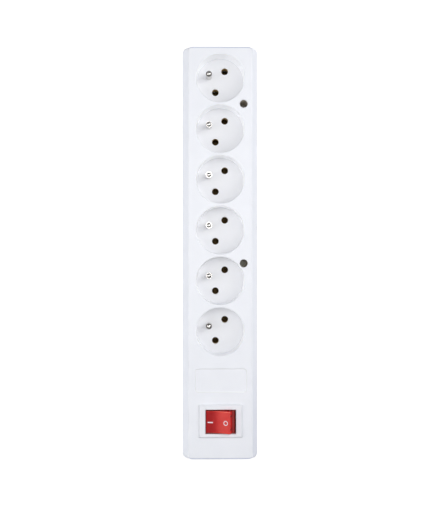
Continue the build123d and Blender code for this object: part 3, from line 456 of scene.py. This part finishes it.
# ---- Pieces on the rocker cap ----
def cap_surface(x, y, lift):
    """A point on the cap's dished top, lift millimetres proud of it, in the cap's level frame."""
    radius = (CAP_EDGE_X ** 2 + CAP_DISH ** 2) / (2 * CAP_DISH)
    return Vector((x, y, CAP_EDGE_Z - CAP_DISH + radius - sqrt(radius ** 2 - x ** 2) + lift))


def cap_place():
    """Places the cap's level frame at its stored tilt, in metres."""
    return (Matrix.Translation(SWITCH) @ Matrix.Rotation(radians(-CAP_TILT), 4, "Y")
            @ Matrix.Diagonal((MM, MM, MM, 1.0)))


def object_from(mesh_maker, name, material):
    """Turns a finished bmesh into a smooth-shaded object in the scene."""
    mesh = bpy.data.meshes.new(name)
    mesh_maker.normal_update()
    mesh_maker.to_mesh(mesh)
    mesh_maker.free()
    mesh.materials.append(material)
    mesh.shade_smooth()
    piece = bpy.data.objects.new(name, mesh)
    bpy.context.scene.collection.objects.link(piece)
    return piece


def bridge_loops(loops, closed_tube):
    """Skin over rings of points, with both ends capped, or the last ring joined to the first."""
    made = bmesh.new()
    rings = [[made.verts.new(p) for p in loop] for loop in loops]
    pairs = list(zip(rings, rings[1:])) + ([(rings[-1], rings[0])] if closed_tube else [])
    for ring, following in pairs:
        for i in range(len(ring)):
            j = (i + 1) % len(ring)
            made.faces.new((ring[i], ring[j], following[j], following[i]))
    if not closed_tube:
        made.faces.new(reversed(rings[0]))
        made.faces.new(rings[-1])
    bmesh.ops.recalc_face_normals(made, faces=made.faces)
    return made


def ring_mark():
    """The off mark: a printed ring that follows the dish."""
    steps = 64

    def circle(radius, lift):
        return [cap_surface(RING_X + radius * cos(2 * pi * i / steps),
                            MARK_Y + radius * sin(2 * pi * i / steps), lift) for i in range(steps)]

    profile = [(RING_OUTER, INK_SUNK), (RING_OUTER, INK_EDGE), (RING_OUTER - INK_SOFT, INK_PROUD),
               (RING_INNER + INK_SOFT, INK_PROUD), (RING_INNER, INK_EDGE), (RING_INNER, INK_SUNK)]
    return bridge_loops([circle(radius, lift) for radius, lift in profile], closed_tube=True)


def dash_mark():
    """The on mark: a printed bar with slightly rounded corners that follows the dish."""
    arc_steps, side_steps = 6, 12
    straight_x, straight_y = DASH_HALF_LENGTH - DASH_CORNER, DASH_HALF_WIDTH - DASH_CORNER

    def outline(inset, lift):
        points = []
        for quadrant, (sx, sy) in enumerate(((1, 1), (-1, 1), (-1, -1), (1, -1))):
            for i in range(arc_steps + 1):
                angle = (quadrant + i / arc_steps) * pi / 2
                points.append((sx * straight_x + (DASH_CORNER - inset) * cos(angle),
                               sy * straight_y + (DASH_CORNER - inset) * sin(angle)))
            if quadrant % 2 == 0:
                start = points[-1]
                reach = -2 * sx * straight_x
                points += [(start[0] + reach * k / side_steps, start[1]) for k in range(1, side_steps)]
        return [cap_surface(DASH_X + x, MARK_Y + y, lift) for x, y in points]

    profile = [(0.0, INK_SUNK), (0.0, INK_EDGE), (INK_SOFT, INK_PROUD)]
    return bridge_loops([outline(inset, lift) for inset, lift in profile], closed_tube=False)


def coil_spring(y):
    """Round-wire compression spring with closed ends, in the cap's level frame."""
    around, per_turn = 8, 24
    count = SPRING_TURNS * per_turn
    low, high = SPRING_LOW + SPRING_WIRE, SPRING_HIGH - SPRING_WIRE
    loops = []
    for i in range(count + 1):
        share = i / count
        climb = min(max((share - SPRING_CLOSED_SHARE) / (1 - 2 * SPRING_CLOSED_SHARE), 0.0), 1.0)
        angle = 2 * pi * SPRING_TURNS * share
        out = Vector((cos(angle), sin(angle), 0))
        middle = Vector((0, y, low + (high - low) * climb)) + out * SPRING_RADIUS
        loops.append([middle + SPRING_WIRE * (cos(t) * out + sin(t) * Vector((0, 0, 1)))
                      for t in (2 * pi * k / around for k in range(around))])
    return bridge_loops(loops, closed_tube=False)


def make_cap_pieces():
    """The printed marks, and wound springs in place of the CAD's plain sleeves."""
    for name, maker, material, slot in (
            ("mark_off", ring_mark(), "white_ink", "bezel_plastic"),
            ("mark_on", dash_mark(), "white_ink", "bezel_plastic"),
            ("spring_line", coil_spring(POLE_OFFSET), "zinc_steel", "zinc_steel"),
            ("spring_neutral", coil_spring(-POLE_OFFSET), "zinc_steel", "zinc_steel")):
        piece = object_from(maker, name, MATERIALS[material])
        piece.data.transform(cap_place())
        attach(piece, "rocker_cap")
        if name.startswith("spring"):
            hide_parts("plunger_springs")


# ---- Stage, light and camera ----
FLOOR_REACH, FLOOR_GLOW = 4.0, 0.88
FLOOR_DARK, FLOOR_WHITE = (0.10, 0.095, 0.08), (1.0, 1.0, 1.0)
SHADE_INSET, SHADE_FADE = 4 * MM, 3 * MM

# Softboxes: name, place, width and height in metres, power in watts.
LIGHTS = [
    ("key_right", (0.50, 0.20, 0.55), (0.50, 0.45), 1.72),
    ("key_left", (-0.50, 0.02, 0.60), (0.50, 0.60), 1.81),
    ("key_high", (0.28, 0.12, 0.95), (0.50, 0.60), 1.85),
    ("left_low", (-0.60, 0.0, 0.28), (0.30, 0.50), 0.60),
    ("right_far", (0.55, 0.30, 0.35), (0.30, 0.30), 0.37),
    ("near_end", (0.0, -0.60, 0.70), (0.60, 0.40), 0.88),
    ("far_end", (0.0, 0.60, 0.70), (0.60, 0.40), 0.05),
    ("overhead", (0.0, 0.10, 0.90), (0.30, 0.30), 1.01),
]
LIGHT_AIM = (0.0, 0.0, 0.02)
WORLD_COLOUR, WORLD_STRENGTH = (0.93, 0.95, 1.0, 1.0), 0.12

# The camera: place in metres, turn in degrees about each axis, lens and film width in millimetres,
# and the nearest distance it draws, in metres.
CAMERA_PLACE, CAMERA_TURN = (-0.00735, -0.00207, 0.63055), (0.190, -0.694, -0.016)
CAMERA_LENS, CAMERA_FILM, CAMERA_CLIP = 52.07, 36.0, 0.05


def open_floor(shader):
    """White on the open floor, dark under the strip, where no light gets in: runs over a few millimetres."""
    x, y, _ = shader.axes("Object")
    past_side = shader.math("SUBTRACT", shader.math("ABSOLUTE", x), cad_box[1][0] - SHADE_INSET)
    past_end = shader.math("SUBTRACT", shader.math("ABSOLUTE", y), cad_box[1][1] - SHADE_INSET)
    spread = shader.node("MapRange")
    spread.inputs["From Max"].default_value = SHADE_FADE
    shader.link(shader.math("MAXIMUM", past_side, past_end), spread.inputs["Value"])
    return shader.ramp(spread.outputs["Result"], (0.0, FLOOR_DARK), (1.0, FLOOR_WHITE))


def make_floor():
    mesh = bpy.data.meshes.new("floor")
    corners = [(sx * FLOOR_REACH, sy * FLOOR_REACH, 0) for sx, sy in ((-1, -1), (1, -1), (1, 1), (-1, 1))]
    mesh.from_pydata(corners, [], [(0, 1, 2, 3)])
    floor = bpy.data.objects.new("floor", mesh)
    bpy.context.scene.collection.objects.link(floor)
    shader = Shader("floor_white", Roughness=0.9, Emission_Strength=FLOOR_GLOW)
    shader.colour(shader.noise(300.0), (0.24, 0.24, 0.245), (0.26, 0.26, 0.265))
    shader.link(open_floor(shader), shader.bsdf.inputs["Emission Color"])
    mesh.materials.append(shader.material)


def make_lights():
    for name, place, size, power in LIGHTS:
        data = bpy.data.lights.new(name, "AREA")
        data.shape = "RECTANGLE"
        data.size, data.size_y = size
        data.energy = power
        light = bpy.data.objects.new(name, data)
        light.location = place
        light.rotation_euler = (Vector(LIGHT_AIM) - Vector(place)).to_track_quat("-Z", "Y").to_euler()
        bpy.context.scene.collection.objects.link(light)
    world = bpy.data.worlds.new("studio")
    world.use_nodes = True
    background = world.node_tree.nodes["Background"]
    background.inputs["Color"].default_value = WORLD_COLOUR
    background.inputs["Strength"].default_value = WORLD_STRENGTH
    bpy.context.scene.world = world


def make_camera():
    """Straight above, 0.59 m over the face and slightly left of the middle."""
    data = bpy.data.cameras.new("camera")
    data.sensor_width = CAMERA_FILM
    data.lens = CAMERA_LENS
    data.clip_start = CAMERA_CLIP
    camera = bpy.data.objects.new("camera", data)
    camera.location = CAMERA_PLACE
    camera.rotation_euler = tuple(radians(angle) for angle in CAMERA_TURN)
    bpy.context.scene.collection.objects.link(camera)
    bpy.context.scene.camera = camera


make_camera()
dress_nodes()
make_cap_pieces()
make_floor()
make_lights()
bpy.context.scene.view_settings.view_transform = "Standard"
